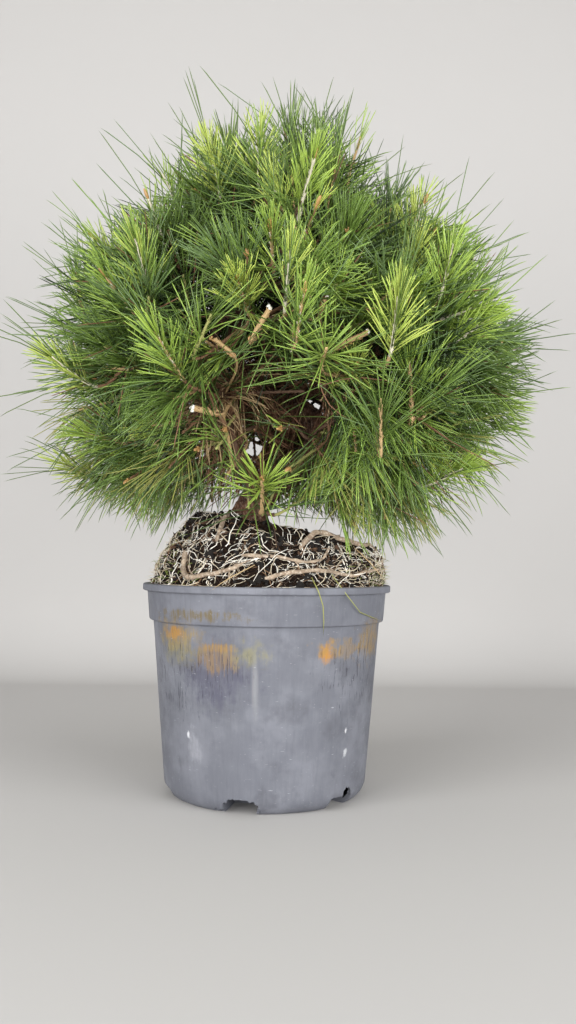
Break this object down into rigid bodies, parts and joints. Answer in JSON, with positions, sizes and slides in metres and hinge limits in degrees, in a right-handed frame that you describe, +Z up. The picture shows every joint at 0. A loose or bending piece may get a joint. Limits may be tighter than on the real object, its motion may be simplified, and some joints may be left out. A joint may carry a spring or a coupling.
{
  "type": "potted aleppo pine",
  "caption": "Young Aleppo pine in a weathered nursery pot: a bent trunk and boughs carry a dense round head of long needles above a root ball with bare surface roots.",
  "frame": {"origin": "middle of the pot's flat underside", "axes": "+Z up the trunk, -Y towards the front, +X to the right as seen from the front"},
  "size_m": [0.4396, 0.4397, 0.5542],
  "materials": {
    "pot": "weathered, scuffed",
    "soil": "crumbly, matt",
    "roots": "fibrous, matt",
    "bark": "scaly, matt",
    "needles": "satin"
  },
  "bodies": {
    "root": {"bough_lower_1": "bark", "bough_lower_2": "bark", "bough_lower_3": "bark", "bough_lower_4": "bark", "bough_lower_5": "bark", "bough_lower_6": "bark", "bough_middle_1": "bark", "bough_middle_2": "bark", "bough_middle_3": "bark", "bough_middle_4": "bark", "bough_middle_5": "bark", "bough_middle_6": "bark", "bough_middle_7": "bark", "bough_upper_1": "bark", "bough_upper_2": "bark", "bough_upper_3": "bark", "bough_upper_4": "bark", "bough_upper_5": "bark", "needles_lower_1": "needles", "needles_lower_2": "needles", "needles_lower_3": "needles", "needles_lower_4": "needles", "needles_lower_5": "needles", "needles_lower_6": "needles", "needles_middle_1": "needles", "needles_middle_2": "needles", "needles_middle_3": "needles", "needles_middle_4": "needles", "needles_middle_5": "needles", "needles_middle_6": "needles", "needles_middle_7": "needles", "needles_top": "needles", "needles_upper_1": "needles", "needles_upper_2": "needles", "needles_upper_3": "needles", "needles_upper_4": "needles", "needles_upper_5": "needles", "pot": "pot", "root_back": "roots", "root_ball": "soil", "root_left": "roots", "root_long_front": "roots", "root_low_front": "roots", "root_lower_left": "roots", "root_top_right": "roots", "root_upper_left": "roots", "trunk": "bark"}
  },
  "joints": []
}
